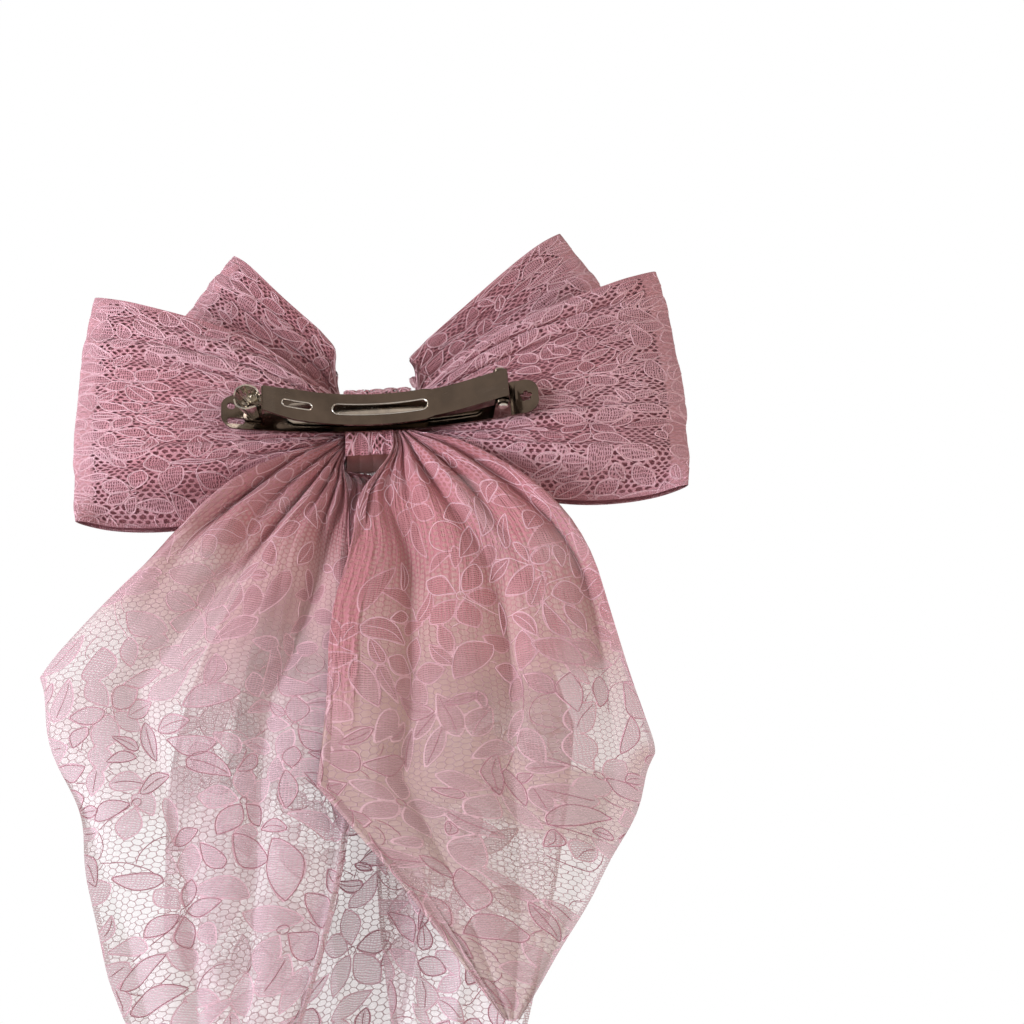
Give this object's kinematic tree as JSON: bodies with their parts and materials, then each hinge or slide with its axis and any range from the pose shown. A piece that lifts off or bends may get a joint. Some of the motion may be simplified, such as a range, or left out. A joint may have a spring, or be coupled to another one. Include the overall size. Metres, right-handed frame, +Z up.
{
  "type": "hair bow",
  "caption": "Gathered lace hair bow with paired loops and long pointed tails, mounted on a sprung metal barrette whose arm swings open and latches behind a pinch catch.",
  "frame": {"origin": "middle of the barrette's grip, between the tension strip and the clasp arm, where the hair is held", "axes": "+Z up as worn, so the tails hang along -Z; +Y towards the head, through the barrette; +X towards the catch"},
  "size_m": [0.1646, 0.0467, 0.2728],
  "materials": {
    "nickel": "dark bright nickel plate with fine scratches",
    "lace": "dusty pink floral net lace with corded outlines",
    "lining": "plain matt woven lining",
    "thread": "twisted sewing thread",
    "adhesive": "set hot-melt glue"
  },
  "bodies": {
    "bow": {"base_plate": "nickel", "hinge_pin": "nickel", "catch_foot": "nickel", "catch_rivet": "nickel", "adhesive_pad": "adhesive", "knot_wrap": "lace", "gather_core": "lace", "binding_thread": "thread", "rear_loop_right": "lace", "rear_loop_left": "lace", "front_loop_right": "lace", "front_loop_left": "lace", "rear_lining_right": "lining", "rear_lining_left": "lining", "front_lining_right": "lining", "front_lining_left": "lining", "rear_tail_left": "lace", "rear_tail_right": "lace", "front_tail_left": "lace", "front_tail_right": "lace"},
    "arm": {"clasp_arm": "nickel"},
    "tension_strip": {"tension_bow": "nickel"},
    "wing_upper": {"catch_wing_upper": "nickel"},
    "wing_lower": {"catch_wing_lower": "nickel"}
  },
  "joints": [
    {"name": "arm_hinge", "type": "hinge", "parent": "bow", "child": "arm", "pos_m": [-0.031, 0.0052, 0], "axis": [0, 0, 1], "range_deg": [0, 60]},
    {"name": "tension_flex", "type": "hinge", "parent": "bow", "child": "tension_strip", "pos_m": [-0.0262, -0.0012, 0], "axis": [0, 0, 1], "range_deg": [0, 8]},
    {"name": "wing_upper_pinch", "type": "hinge", "parent": "bow", "child": "wing_upper", "pos_m": [0.033, 0.0008, 0], "axis": [-0.357, -0.9341, 0], "range_deg": [0, 6], "stiffness_Nm_per_rad": 0.02},
    {"name": "wing_lower_pinch", "type": "hinge", "parent": "bow", "child": "wing_lower", "pos_m": [0.033, 0.0008, 0], "axis": [0.357, 0.9341, 0], "range_deg": [0, 6], "stiffness_Nm_per_rad": 0.02}
  ],
  "couplings": [
    {"joint": "tension_flex", "follows": "arm_hinge", "ratio": 0.13}
  ]
}
